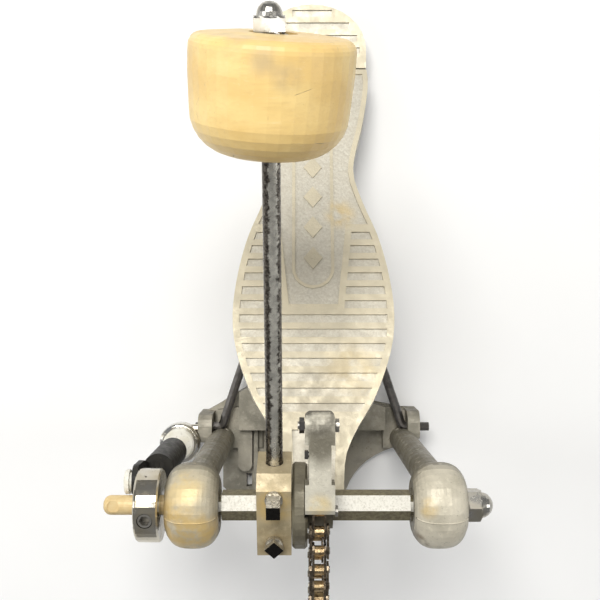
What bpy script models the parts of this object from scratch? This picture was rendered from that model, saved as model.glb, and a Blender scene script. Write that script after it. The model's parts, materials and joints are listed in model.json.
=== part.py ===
"""Bass drum pedal: cast frame, hex beater shaft, chain-driven cam, tension spring, footboard and heel plate.

Everything is worked out in millimetres and stored in metres. +Z is up, +Y points to the player's heel
and +X to the player's right. The origin is on the floor, straight below the middle of the beater shaft.
"""
import math

import bmesh
import bpy
from mathutils import Matrix, Vector

MM = 0.001
GAP = 0.3                     # clearance between pieces that touch on the real pedal
TURN = 2 * math.pi

# Beater shaft
SHAFT_HEIGHT = 150.0
HEX_FLATS = 12.7
HEX_TURN = math.radians(-20)   # the top flat leans towards the heel
HEX_HALF_LENGTH = 45.1
JOURNAL_RADIUS = 4.7
SHAFT_LEFT_END = -102.3
SHAFT_RIGHT_END = 80.1

# Cast frame
HOUSING_X = 59.0
HOUSING_HALF_WIDTH = 12.7
HOUSING_RADIUS = 20.5
HOUSING_ROUNDNESS = 2.8       # exponent of the barrel's superellipse
BEARING_RADIUS = 11.1
BEARING_X = (63.0, 70.1)
POST = (57.0, 11.0)           # X (either side) and Y of the posts' centres
POST_RADIUS = 7.75
POST_SPLIT = 32.0             # height where the posts stand on the base
PLATE_TOP = 7.0
BEAM_TOP = 20.0
RIGHT_LUG = (59.1, 66.6)      # X range
LEFT_LUG = (-70.6, -62.0)
ROD_HOLE = (19.7, 21.5)       # Y and Z of the radius rod's holes in the lugs
WIRE_RADIUS = 2.7

# Beater
ROD_SLOPE = math.radians(20)  # the rod's rise above the horizontal at rest
BEATER_X = -19.7
ROD_RADIUS = 3.97
ROD_START = 9.3
ROD_END = 225.5
HEAD_START = 170.0
HEAD_END = 219.0
HEAD_RADIUS = 34.0
HEAD_LEAN = math.radians(3.5)  # the head sits a little crooked on its rod
HOLDER_FACE = 16.4            # how far the rod holder's front face is from the shaft's middle
HOLDER_HALF_WIDTH = 8.1

# Cam and chain
CHAIN_X = 1.3
CHAIN_PITCH = 9.525
CHAIN_LINKS = 12
CHAIN_START = (1.5, 168.6)    # Y and Z of the pin that holds the chain to the cam
CHAIN_FIRST_DROP = 2.76       # degrees below the horizontal of the first link
CHAIN_LAST_DROP = 175.85
CHAIN_BEND_AT = 0.585         # where along the chain it bends most
CHAIN_BEND_RATE = 6.756
WHEEL_RADIUS = 20.5
WHEEL_X = (-11.3, -4.0)
HUB_RADIUS = 11.0
HUB_END = 8.0
ARM_X = (-3.5, 6.7)
MOUTH_X = (-5.3, 8.4)
ARM_Z = (165.0, 176.5)
CROSS_PIN = (41.4, 171.0)     # Y and Z

# Spring
SPRING_X = -81.5
SPRING_Y = 11.0
SPRING_RADIUS = 6.5
SPRING_WIRE = 1.0
SPRING_Z = (70.0, 107.7)
CROWN_Z = (108.0, 117.0)      # the closed top of the sleeve over the spring
SLEEVE_RADIUS = 8.1
SLEEVE_BOTTOM = 63.0
CHEEK_X = (-88.9, -86.2)
ROCKER_X = (-85.9, -74.0)
ROCKER_RADIUS = 17.5
ROCKER_PIN = (10.0, 144.0)    # Y and Z

# Footboard and heel plate
BOARD_SLOPE = math.radians(20)
HINGE = (243.0, 18.0)         # Y and Z
BOARD_TOP = 3.76              # height of the tread above the hinge axis, square to the board
BOARD_PLATE = 3.8
BOARD_SKIRT = 10.0
TREAD_LENGTH = 226.0
BOARD_LENGTH = 262.0
BOARD_WIDTHS = ((0, 34.0), (12, 34.7), (37.6, 31.0), (71.6, 24.2), (91.8, 29.0), (115.3, 37.9), (139.7, 43.5),
                (163.7, 45.7), (184.4, 43.1), (211.5, 33.3), (229, 23.0), (243, 17.0), (262, 15.6))
SLOT_PITCH = 8.51
SLOT_FIRST = 114.6
SLOT_WIDTH = 4.8
SLOT_DEPTH = 1.2
HEEL_END = 285.0
HEEL_ROUND_FROM = 257.0
HEEL_HALF_WIDTH = 33.9
HEEL_TOP = 20.0

# Hoop clamp
JAW_PIVOT = (-12.0, 22.0)     # Y and Z
JAW_HALF_WIDTH = 16.5
SCREW_Y = 6.0

COLOURS = {
    "cast": ((0.42, 0.42, 0.38), 0.5, 0.8),
    "board": ((0.66, 0.62, 0.53), 0.5, 0.7),
    "chrome": ((0.80, 0.80, 0.80), 0.15, 1.0),
    "steel": ((0.45, 0.43, 0.40), 0.35, 1.0),
    "dark": ((0.06, 0.06, 0.06), 0.4, 0.6),
    "block": ((0.52, 0.45, 0.33), 0.5, 0.7),
    "wood": ((0.80, 0.66, 0.40), 0.7, 0.0),
    "chain": ((0.45, 0.36, 0.22), 0.35, 1.0),
    "black": ((0.03, 0.03, 0.03), 0.5, 0.0),
    "nylon": ((0.86, 0.83, 0.70), 0.5, 0.0),
}

# ---------------------------------------------------------------- shapes


def join_loops(loops, closed=False):
    """A mesh through equal-length loops of points: a skin, capped at both ends or joined into a ring."""
    mesh = bmesh.new()
    rings = [[mesh.verts.new(point) for point in loop] for loop in loops]
    pairs = list(zip(rings, rings[1:]))
    if closed:
        pairs.append((rings[-1], rings[0]))
    else:
        mesh.faces.new(rings[0])
        mesh.faces.new(rings[-1])
    for low, high in pairs:
        for i in range(len(low)):
            j = (i + 1) % len(low)
            mesh.faces.new((low[i], low[j], high[j], high[i]))
    bmesh.ops.recalc_face_normals(mesh, faces=mesh.faces)
    if mesh.calc_volume(signed=True) < 0:
        bmesh.ops.reverse_faces(mesh, faces=mesh.faces)
    return mesh


def along(axis, outline, distance):
    """The 3-D points of a flat outline at a distance along the X, Y or Z axis."""
    if axis == "X":
        return [(distance, a, b) for a, b in outline]
    if axis == "Y":
        return [(a, distance, b) for a, b in outline]
    return [(a, b, distance) for a, b in outline]


def prism(axis, outline, low, high):
    """A straight-sided solid of the outline, from low to high along the axis."""
    return join_loops([along(axis, outline, low), along(axis, outline, high)])


def box(x, y, z):
    """A block between the two values given for each axis."""
    outline = [(x[0], y[0]), (x[1], y[0]), (x[1], y[1]), (x[0], y[1])]
    return prism("Z", outline, z[0], z[1])


def circle(centre, radius, sides=24, start=0.0, sweep=TURN):
    """Points round a circle, or round part of one with both its ends."""
    steps = sides if sweep == TURN else sides + 1
    angles = [start + sweep * i / sides for i in range(steps)]
    return [(centre[0] + radius * math.cos(a), centre[1] + radius * math.sin(a)) for a in angles]


def cylinder(axis, centre, radius, low, high, sides=24, start=0.0):
    return prism(axis, circle(centre, radius, sides, start), low, high)


def hexagon(centre, flats, start=0.0):
    """A hexagon with the given distance across its flats."""
    return circle(centre, flats / 2 / math.cos(math.pi / 6), 6, start)


def lathe(profile, sides=32, closed=True):
    """A solid turned about the X axis from (x, radius) points; closed means that the profile is a ring."""
    rings = []
    for i in range(sides):
        angle = TURN * i / sides
        rings.append([(x, r * math.cos(angle), r * math.sin(angle)) for x, r in profile])
    if closed:
        return join_loops(rings, closed=True)
    discs = []
    for x, r in profile:
        discs.append(along("X", circle((0, 0), max(r, 1e-4), sides), x))
    mesh = join_loops(discs)
    bmesh.ops.remove_doubles(mesh, verts=mesh.verts, dist=1e-3)
    return mesh


def sweep(points, radius, sides=8):
    """A round wire along a path."""
    path = [Vector(point) for point in points]
    loops = []
    side = Vector((0, 0, 1)).cross(path[1] - path[0])
    if side.length < 1e-6:
        side = Vector((1, 0, 0))
    for i, point in enumerate(path):
        before = path[max(i - 1, 0)]
        after = path[min(i + 1, len(path) - 1)]
        tangent = (after - before).normalized()
        side = (side - tangent * side.dot(tangent)).normalized()
        up = tangent.cross(side)
        loops.append([point + radius * (math.cos(TURN * k / sides) * side + math.sin(TURN * k / sides) * up)
                      for k in range(sides)])
    return join_loops(loops)


def moved(mesh, matrix):
    mesh.transform(matrix)
    return mesh


def shift(x, y, z):
    return Matrix.Translation((x, y, z))


def scratch_object(mesh):
    data = bpy.data.meshes.new("scratch")
    mesh.to_mesh(data)
    mesh.free()
    piece = bpy.data.objects.new("scratch", data)
    bpy.context.scene.collection.objects.link(piece)
    return piece


def boolean(operation, mesh, others):
    """The mesh after a Boolean with each of the others in turn."""
    target = scratch_object(mesh)
    helpers = [target]
    for other in others:
        helper = scratch_object(other)
        helpers.append(helper)
        modifier = target.modifiers.new("Boolean", "BOOLEAN")
        modifier.operation = operation
        modifier.object = helper
    bpy.context.view_layer.update()
    result = bmesh.new()
    result.from_object(target, bpy.context.evaluated_depsgraph_get())
    for helper in helpers:
        data = helper.data
        bpy.data.objects.remove(helper)
        bpy.data.meshes.remove(data)
    return result


def join(mesh, *others):
    return boolean("UNION", mesh, others)


def cut(mesh, *others):
    return boolean("DIFFERENCE", mesh, others)


def bezier(a, b, c, steps):
    """Points along a curve from a to c that bends towards b."""
    points = []
    for i in range(steps + 1):
        t = i / steps
        points.append(tuple((1 - t) ** 2 * p + 2 * t * (1 - t) * q + t * t * r for p, q, r in zip(a, b, c)))
    return points


# ---------------------------------------------------------------- placing


def material(name):
    colour, roughness, metallic = COLOURS[name]
    made = bpy.data.materials.get(name)
    if made is None:
        made = bpy.data.materials.new(name)
        made.use_nodes = True
        shader = made.node_tree.nodes["Principled BSDF"]
        shader.inputs["Base Color"].default_value = (*colour, 1)
        shader.inputs["Roughness"].default_value = roughness
        shader.inputs["Metallic"].default_value = metallic
    return made


def pivot(name, x, y, z):
    """An empty on a moving body's joint axis, which the body's pieces hang from."""
    empty = bpy.data.objects.new(name, None)
    empty.location = Vector((x, y, z)) * MM
    bpy.context.scene.collection.objects.link(empty)
    return empty


def place(name, parent, colour, mesh):
    """Make the named piece from a mesh in millimetres, hung from its body's empty."""
    mesh.transform(Matrix.Diagonal((MM, MM, MM, 1)))
    mesh.transform(Matrix.Translation(-parent.location))
    bmesh.ops.triangulate(mesh, faces=[face for face in mesh.faces if len(face.verts) > 4])
    data = bpy.data.meshes.new(name)
    mesh.to_mesh(data)
    mesh.free()
    data.shade_smooth()
    data.set_sharp_from_angle(angle=math.radians(35))
    data.materials.append(material(colour))
    piece = bpy.data.objects.new(name, data)
    piece.parent = parent
    bpy.context.scene.collection.objects.link(piece)
    return piece


# ---------------------------------------------------------------- frame


def rear_edge():
    """The base's rear edge, from the right to the left."""
    return [(38, 34), (20, 41), (0, 45), (-20, 45), (-41, 43.5), (-51, 38)]


def base_outline():
    front = [(-20, -38), (20, -38)]
    arch = bezier((22, -23), (29, -3), (52, 4), 7)
    right_side = [(65, 5), (66.6, 12), (66.6, 29.8), (58, 30)]
    left_side = [(-58, 33), (-67, 28), (-70.6, 28), (-70.6, 11), (-64, 4), (-57, 4), (-57, -21), (-54, -24),
                 (-24, -24), (-20, -29)]
    return front + arch + right_side + rear_edge() + left_side


def lug(x_range, low, high, top):
    """An upright ear with rounded corners, between two distances along Y."""
    outline = [(low, 0), (high, 0)]
    outline += circle((high - 7, top - 7), 7, 5, 0.0, math.pi / 2)
    outline += circle((low + 4, top - 4), 4, 3, math.pi / 2, math.pi / 2)
    return prism("X", outline, *x_range)


def base_casting(frame):
    beam = [(-46, 17), (46, 17), (46, 31.4)] + rear_edge()[:5] + [(-46, 40.7)]
    pads, stubs, rod_bores = [], [], []
    for side in (-1, 1):
        pads.append(prism("Z", [(side * 45, 5), (side * 60, 5), (side * 60, 29), (side * 45, 31)], 5, 14))
        stubs.append(cylinder("Z", (side * POST[0], POST[1]), POST_RADIUS, 3, POST_SPLIT, 24))
        rod_bores.append(cylinder("X", ROD_HOLE, WIRE_RADIUS + GAP, *sorted((side * 48, side * 80)), 16))
    lugs = [lug(RIGHT_LUG, 12.5, 29.8, 30), lug(LEFT_LUG, 10.6, 28, POST_SPLIT)]
    ear = circle(JAW_PIVOT, 4.5, 8, 0.0, math.pi) + [(JAW_PIVOT[0] - 6, 5), (JAW_PIVOT[0] + 6, 5)]
    ears = [prism("X", ear, *sorted((side * 16.9, side * 19.9))) for side in (-1, 1)]
    boss = prism("Z", [(-47, 18), (-38, 18)] + circle((-42.5, -5.5), 4.5, 6, 0.0, -math.pi), 5, 14)
    rib = box((-37, -34.5), (-23.5, 20), (5, 12))
    round_rib = cylinder("Y", (-32.8, 7.5), 2, 4.5, 20, 12)
    mesh = join(prism("Z", base_outline(), 0, PLATE_TOP), prism("Z", beam, PLATE_TOP - 2, BEAM_TOP),
                *pads, *stubs, *lugs, *ears, boss, rib, round_rib)
    slot = box((-42, -38.5), (-21, -12.5), (-1, 20))
    anchor_room = cylinder("Z", (SPRING_X, SPRING_Y), 12.9, 24, 50, 32)
    anchor_bore = cylinder("X", (19.5, 28), 2.7, -75, -63.5, 12)
    jaw_bore = cylinder("X", JAW_PIVOT, 2.3, -30, 30, 12)
    hollow = box((-32, 32), (21, 31), (-1, BEAM_TOP - 4))
    mesh = cut(mesh, *rod_bores, slot, anchor_room, anchor_bore, jaw_bore, hollow)
    place("base_casting", frame, "cast", mesh)


def upright(frame, side, name):
    """A post with the barrel-shaped bearing housing at its top."""
    power = 2 / HOUSING_ROUNDNESS
    first = math.radians(30.4)
    stretch = HOUSING_HALF_WIDTH / math.cos(first) ** power
    barrel = []
    for i in range(15):
        angle = first + (math.pi - 2 * first) * i / 14
        across = math.copysign(abs(math.cos(angle)) ** power, math.cos(angle)) * stretch
        barrel.append((across, math.sin(angle) ** power * HOUSING_RADIUS))
    pocket = BEARING_X[0] - GAP - HOUSING_X
    bore = [(-HOUSING_HALF_WIDTH, 8), (pocket, 8), (pocket, BEARING_RADIUS + GAP),
            (HOUSING_HALF_WIDTH, BEARING_RADIUS + GAP)]
    housing = lathe([(side * x, r) for x, r in barrel + bore], 32)
    housing = moved(housing, shift(side * HOUSING_X, 0, SHAFT_HEIGHT))
    post = cylinder("Z", (side * POST[0], POST[1]), POST_RADIUS, POST_SPLIT + GAP, SHAFT_HEIGHT, 24)
    core = cylinder("X", (0, SHAFT_HEIGHT), 13, side * (HOUSING_X - 20), side * (HOUSING_X + 20), 32)
    place(name, frame, "cast", join(cut(post, core), housing))


def bearing(frame, side, name):
    outer, inner = BEARING_RADIUS, JOURNAL_RADIUS + GAP
    left, right = BEARING_X
    profile = [(left, inner), (left, 6.4), (left + 0.6, 6.8), (left + 0.6, 9.6), (left, 10.0), (left, outer)]
    profile += [(left + right - x, r) for x, r in reversed(profile)]
    ring = lathe([(side * x, r) for x, r in profile], 24)
    place(name, frame, "chrome", moved(ring, shift(0, 0, SHAFT_HEIGHT)))


# ---------------------------------------------------------------- beater shaft and beater


def at_shaft(mesh):
    return moved(mesh, shift(0, 0, SHAFT_HEIGHT))


def hex_bore(low, high):
    """What is cut from a piece that sits on the hexagonal bar."""
    return prism("X", hexagon((0, 0), HEX_FLATS + 2 * GAP, HEX_TURN), low, high)


def hex_shaft(shaft):
    half = HEX_HALF_LENGTH
    bar = prism("X", hexagon((0, 0), HEX_FLATS, HEX_TURN), -half, half)
    nose = circle((SHAFT_LEFT_END + 3.5, JOURNAL_RADIUS - 3.5), 3.5, 5, math.pi, -math.pi / 2)
    profile = [(SHAFT_LEFT_END, 0)] + nose + [(SHAFT_RIGHT_END, JOURNAL_RADIUS), (SHAFT_RIGHT_END, 0)]
    journal = lathe(profile, 24, closed=False)
    dimple = cylinder("Z", (SHAFT_LEFT_END + 5.2, 0), 2.9, 3.8, 8, 20)
    place("hex_shaft", shaft, "chrome", at_shaft(cut(join(bar, journal), dimple)))


def acorn_nut(flats, height, thread, dome):
    """A domed cap nut about the X axis, open at x = 0, as rings from the dome's tip to the bore's end."""
    def ring(x, reach):
        loop = []
        for i in range(24):
            angle = TURN * i / 24
            from_flat = (angle + math.pi / 6) % (math.pi / 3) - math.pi / 6
            radius = min(flats / 2 / math.cos(from_flat), reach)
            loop.append((x, radius * math.cos(angle), radius * math.sin(angle)))
        return loop
    rings = [ring(height + dome, 1e-4)]
    for i in range(1, 6):
        angle = math.pi / 2 * (1 - i / 5)
        rings.append(ring(height + dome * math.sin(angle), (flats / 2 - 1) * math.cos(angle)))
    for x, reach in ((height, flats / 2), (height - 0.9, flats), (0.9, flats), (0, flats / 2)):
        rings.append(ring(x, reach))
    for x, reach in ((0, thread + GAP), (height + 1, thread + GAP), (height + 1, 1e-4)):
        rings.append(ring(x, reach))
    mesh = join_loops(rings)
    bmesh.ops.remove_doubles(mesh, verts=mesh.verts, dist=1e-3)
    return mesh


def shaft_nut(shaft):
    start = HOUSING_X + HOUSING_HALF_WIDTH + 0.4
    nut = moved(acorn_nut(14.3, 7.5, JOURNAL_RADIUS, 5.9), shift(start, 0, 0))
    place("shaft_acorn_nut", shaft, "chrome", at_shaft(nut))
    low, high = BEARING_X[1] + GAP, start - GAP
    washer = [(low, JOURNAL_RADIUS + GAP), (low, 6.5), (high, 6.5), (high, JOURNAL_RADIUS + GAP)]
    place("shaft_washer", shaft, "steel", at_shaft(lathe(washer, 24)))


def on_rod(mesh):
    """From a frame with X along the beater rod, Z square to it and forward, to the pedal's own."""
    axis = Vector((0, math.cos(ROD_SLOPE), math.sin(ROD_SLOPE)))
    forward = Vector((0, -math.sin(ROD_SLOPE), math.cos(ROD_SLOPE)))
    turn = Matrix((axis, forward.cross(axis), forward)).transposed().to_4x4()
    return moved(mesh, shift(BEATER_X, 0, SHAFT_HEIGHT) @ turn)


def rod_holder(shaft):
    """The block that clamps the beater rod to the shaft. Its outline is (along the rod, forward)."""
    outline = [(-17, -10), (23.6, -10), (23.6, HOLDER_FACE - 6), (17.6, HOLDER_FACE), (-17, HOLDER_FACE)]
    block = prism("Y", outline, -HOLDER_HALF_WIDTH, HOLDER_HALF_WIDTH)
    rod_bore = cylinder("X", (0, 0), ROD_RADIUS + GAP, ROD_START - GAP, 30, 24)
    bolt_bores = [cylinder("Z", (14, 0), 2.7, 2, 20, 16), cylinder("Z", (-10.4, 0), 2.7, -7, 20, 16)]
    slit = box((-18, -5), (-9, 9), (-0.75, 0.75))
    block = on_rod(cut(block, rod_bore, slit, *bolt_bores))
    place("rod_holder", shaft, "block", cut(block, at_shaft(hex_bore(BEATER_X - 12, BEATER_X + 12))))


def square_bolt(shaft, name, along_rod, tip, height, turn):
    """A drum-key bolt: square head, round flange and shank, standing on the holder's front face."""
    face = HOLDER_FACE + GAP
    shank = cylinder("Z", (0, 0), 2.4, tip, face + 1, 16)
    flange = cylinder("Z", (0, 0), 4.15, face, face + 1.8, 24)
    head = prism("Z", circle((0, 0), 6.35 / math.sqrt(2), 4, turn), face + 1, face + height)
    place(name, shaft, "dark", on_rod(moved(join(head, flange, shank), shift(along_rod, 0, 0))))


def beater(body):
    rod = cylinder("X", (0, 0), ROD_RADIUS, ROD_START, ROD_END, 24)
    place("beater_rod", body, "chrome", on_rod(rod))
    bore = ROD_RADIUS + 1.9
    bottom = circle((HEAD_START + 18, HEAD_RADIUS - 19), 18, 7, math.pi, -math.pi / 2)
    top = circle((HEAD_END - 6, HEAD_RADIUS - 5), 5, 5, math.pi / 2, -math.pi / 2)
    profile = [(HEAD_START, bore)] + bottom + [(HEAD_START + 34, HEAD_RADIUS)] + top
    profile += [(HEAD_END, 19), (HEAD_END, 10), (HEAD_END - 2.6, 10), (HEAD_END - 2.6, bore)]
    middle = (HEAD_START + HEAD_END) / 2
    lean = shift(middle, 0, 0) @ Matrix.Rotation(-HEAD_LEAN, 4, "Z") @ shift(-middle, 0, 0)
    place("beater_head", body, "wood", on_rod(moved(lathe(profile, 40), lean)))
    low, high = HEAD_END - 1.8, HEAD_END - 0.8
    washer = [(low, ROD_RADIUS + GAP), (low, 7.5), (high, 7.5), (high, ROD_RADIUS + GAP)]
    place("beater_washer", body, "steel", on_rod(lathe(washer, 20)))
    nut = moved(acorn_nut(12.7, 7, ROD_RADIUS, 5.6), shift(high + GAP, 0, 0))
    place("beater_acorn_nut", body, "chrome", on_rod(nut))


# ---------------------------------------------------------------- cam


def cam_wheel(shaft):
    """A thick disc and the long hub that the cam arm is held by."""
    left, right = WHEEL_X
    edge = 1.2
    profile = [(left, 0), (left, WHEEL_RADIUS - edge), (left + edge, WHEEL_RADIUS)]
    profile += [(right - edge, WHEEL_RADIUS), (right, WHEEL_RADIUS - edge), (right, HUB_RADIUS)]
    profile += [(HUB_END, HUB_RADIUS), (HUB_END, 0)]
    mesh = at_shaft(cut(lathe(profile, 36, closed=False), hex_bore(-20, 20)))
    hood_room = box((MOUTH_X[0] - GAP, right + 1), (-1.5, 50), (ARM_Z[0] - 1.5 - GAP, 180))
    place("cam_wheel", shaft, "cast", cut(mesh, hood_room))


def cam_arm(shaft):
    """The lever for the chain's end: a web round the hub, a bar with a broad tip and a hooded mouth."""
    low, high = ARM_Z
    left, right = MOUTH_X
    web = [(7, low + 2), (7, SHAFT_HEIGHT), (9, SHAFT_HEIGHT - 4), (16, SHAFT_HEIGHT - 3)]
    web += [(32, low + 1), (32, low + 2)]
    bar = [(12, low), (36, low), (36, high), (12, high)]
    tip = circle((42.5, (low + high) / 2), (high - low) / 2, 8, -math.pi / 2, math.pi)
    tip += [(33, high), (33, low)]
    hood = [(1.3, low - 1.5), (15, low - 1.5), (15, high), (3.3, high), (1.3, high - 1.6)]
    mesh = join(prism("X", bar, *ARM_X), prism("X", web, *ARM_X), prism("X", hood, *MOUTH_X))
    cavity = box((CHAIN_X - 3.6, CHAIN_X + 3.6), (0, 9.5), (low - 3, 173.8))
    corner, end = 3.0, 48.0
    rounding = [(left - 1, 30), (right + 1, 30), (right + 1, end - corner)]
    rounding += circle((right - corner, end - corner), corner, 5, 0.0, math.pi / 2)
    rounding += circle((left + corner, end - corner), corner, 5, math.pi / 2, math.pi / 2)
    rounding += [(left - 1, end - corner)]
    bores = [cylinder("X", (0, SHAFT_HEIGHT), HUB_RADIUS + GAP, -20, 20, 32),
             cylinder("X", CHAIN_START, 1.9, -20, 20, 12), cylinder("X", CROSS_PIN, 2.1, -20, 20, 12),
             cylinder("X", (28, 171), 1.8, -10, 2, 12)]
    broad_tip = boolean("INTERSECT", prism("X", tip, *MOUTH_X), [prism("Z", rounding, low - 1, high + 1)])
    place("cam_arm", shaft, "cast", cut(join(mesh, broad_tip), cavity, *bores))


def cam_fasteners(shaft):
    left, right = MOUTH_X
    screw = join(prism("X", circle((28, 171), 2.6, 4, math.pi / 4), ARM_X[0] - 2.0, ARM_X[0] - GAP),
                 cylinder("X", (28, 171), 1.4, ARM_X[0] - 1, 1, 12))
    place("cam_screw", shaft, "dark", screw)
    pin = join(cylinder("X", CROSS_PIN, 1.8, left - 3.4, right + 1, 12),
               cylinder("X", CROSS_PIN, 3.2, right + GAP, right + 2, 12))
    place("cam_cross_pin", shaft, "steel", pin)
    nut = prism("X", hexagon(CROSS_PIN, 6.4), left - 2.6, left - GAP)
    place("cam_pin_nut", shaft, "dark", cut(nut, cylinder("X", CROSS_PIN, 2.1, -12, 0, 12)))
    anchor = join(cylinder("X", CHAIN_START, 1.6, left, right + 1, 12),
                  cylinder("X", CHAIN_START, 2.6, right + GAP, right + 1.5, 12))
    place("chain_anchor_pin", shaft, "steel", anchor)


# ---------------------------------------------------------------- chain


def chain_pins():
    """Y and Z of every pin: the links turn from level to upside down along a smooth S of angles."""
    def bend(t):
        return 1 / (1 + math.exp((CHAIN_BEND_AT - t) * CHAIN_BEND_RATE))
    pins = [CHAIN_START]
    for i in range(CHAIN_LINKS):
        share = (bend((i + 0.5) / CHAIN_LINKS) - bend(0)) / (bend(1) - bend(0))
        drop = math.radians(CHAIN_FIRST_DROP + (CHAIN_LAST_DROP - CHAIN_FIRST_DROP) * share)
        y, z = pins[-1]
        pins.append((y - CHAIN_PITCH * math.cos(drop), z - CHAIN_PITCH * math.sin(drop)))
    return pins


def link_plate(a, b, radius, low, high):
    """A plate with round ends between two pins, waisted in the middle."""
    angle = math.atan2(b[1] - a[1], b[0] - a[0])
    outline = circle(b, radius, 6, angle - math.pi / 2, math.pi)
    outline += circle(a, radius, 6, angle + math.pi / 2, math.pi)
    return prism("X", outline, CHAIN_X + low, CHAIN_X + high)


def link_pair(name, parent, pins, last_pin):
    """An inner link and an outer link as one strand; its first roller is bored for the pin it turns on."""
    first, middle, last = pins
    inner = [link_plate(first, middle, 4.0, side * 2.7 - 0.5, side * 2.7 + 0.5) for side in (-1, 1)]
    outer = [link_plate(middle, last, 3.9, side * 4.0 - 0.5, side * 4.0 + 0.5) for side in (-1, 1)]
    rollers = [cylinder("X", pin, 2.54, CHAIN_X - 2.5, CHAIN_X + 2.5, 12) for pin in (first, middle)]
    riveted = (middle, last) if last_pin else (middle,)
    rivets = [cylinder("X", pin, 1.6, CHAIN_X - 5, CHAIN_X + 5, 10) for pin in riveted]
    mesh = join(rollers[0], *inner, rollers[1], rivets[0], *outer, *rivets[1:])
    mesh = cut(mesh, cylinder("X", first, 1.9, CHAIN_X - 3.4, CHAIN_X + 3.4, 12))
    place(name, parent, "chain", mesh)


def chain():
    """Three strands hang from the cam and three stand on the toe; the pivot between them is left open."""
    pins = chain_pins()
    for i in range(3):
        first = pins[2 * i]
        body = pivot("chain_axis_%d" % (i + 1), 0, *first)
        link_pair("chain_strand_%d" % (i + 1), body, pins[2 * i:2 * i + 3], last_pin=i < 2)
    for i in range(3):
        last = pins[12 - 2 * i]
        body = pivot("chain_axis_%d" % (6 - i), 0, *last)
        link_pair("chain_strand_%d" % (6 - i), body, pins[10 - 2 * i:13 - 2 * i], last_pin=True)


# ---------------------------------------------------------------- spring side


def spring_rocker(shaft):
    left, right = ROCKER_X
    r, edge = ROCKER_RADIUS, 2.0
    rim = circle((left + edge, r - edge), edge, 4, math.pi, -math.pi / 2)
    profile = [(left, JOURNAL_RADIUS + GAP)] + rim + [(right - 0.8, r), (right, r - 0.8),
                                                     (right, JOURNAL_RADIUS + GAP)]
    mesh = at_shaft(lathe(profile, 40))
    pin_bore = cylinder("X", ROCKER_PIN, 2.9, left - 1, right - 3, 16)
    middle = (left + right) / 2
    tilt = shift(0, 0, SHAFT_HEIGHT) @ Matrix.Rotation(math.radians(13), 4, "X")
    screw_bore = moved(cylinder("Z", (middle, 0), 3.7, 1, 30, 20), tilt)
    place("spring_rocker", shaft, "chrome", cut(mesh, pin_bore, screw_bore))
    top = ROCKER_RADIUS - 0.6
    screw = cylinder("Z", (middle, 0), 3.4, JOURNAL_RADIUS + GAP, top, 20)
    socket = prism("Z", hexagon((middle, 0), 4.5), top - 4, top + 1)
    place("rocker_set_screw", shaft, "steel", moved(cut(screw, socket), tilt))
    place("rocker_pin", shaft, "steel", cylinder("X", ROCKER_PIN, 2.5, left - 7.1, right - 3.4, 16))
    bush = [(left - 7.1, 2.8), (left - 7.1, 5.4), (left - 6.5, 6), (left - 4.7, 6), (left - 4.7, 4.6),
            (left - 0.3, 4.6), (left - 0.3, 2.8)]
    place("rocker_bush", shaft, "nylon", moved(lathe(bush, 20), shift(0, *ROCKER_PIN)))


def eye_outline(radius, reach):
    """An outline round the rocker pin, a circle drawn out by reach to both sides."""
    y, z = ROCKER_PIN
    outline = circle((y + reach, z), radius, 8, -math.pi / 2, math.pi)
    return outline + circle((y - reach, z), radius, 8, math.pi / 2, math.pi)


def stirrup(body):
    """The sleeve over the spring, which holds its upper end, with a hook that hangs on the rocker's bush."""
    low, high = CROWN_Z
    y, z = ROCKER_PIN
    axis = (SPRING_X, SPRING_Y)
    cheek = [(6.5, low), (14.5, low), (14.5, high), (18.2, high + 14), (18.2, z), (5.3, z), (5.3, high + 2)]
    grips = [box((x, x + 1.6), (7, 15), (high - 1, high + 0.6)) for x in (-85.1, -82.3, -79.5)]
    sleeve = cylinder("Z", axis, SLEEVE_RADIUS, SLEEVE_BOTTOM, high, 36)
    mesh = cut(sleeve, cylinder("Z", axis, SPRING_RADIUS + 0.4, SLEEVE_BOTTOM - 1, low, 36))
    plug = cylinder("Z", axis, 4.1, low - 10, low + 2, 16)
    mesh = join(mesh, prism("X", cheek, *CHEEK_X), prism("X", eye_outline(7.2, 1.4), *CHEEK_X), *grips, plug)
    eye = prism("X", eye_outline(5.0, 1.6), -95, -80)
    way_in = box((-95, -80), (-10, y), (z - 5, z + 5))
    shaft_room = box((-95, -80), (-10, 5.3), (high + 1, z + 20))
    place("stirrup", body, "black", cut(mesh, eye, way_in, shaft_room))


def spring(frame):
    low, high = SPRING_Z
    radius = SPRING_RADIUS - SPRING_WIRE
    turns = int((high - low - 2 * SPRING_WIRE) / (2 * SPRING_WIRE + 0.35))
    steps = turns * 12
    points = []
    for i in range(steps + 1):
        angle = TURN * i / 12
        z = low + SPRING_WIRE + (high - low - 2 * SPRING_WIRE) * i / steps
        points.append((SPRING_X + radius * math.cos(angle), SPRING_Y + radius * math.sin(angle), z))
    place("spring", frame, "dark", sweep(points, SPRING_WIRE, 5))


def upended(mesh):
    """From a shape turned about the X axis to one turned about the spring's axis, with X becoming Z."""
    return moved(mesh, shift(SPRING_X, SPRING_Y, 0) @ Matrix.Rotation(-math.pi / 2, 4, "Y"))


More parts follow.
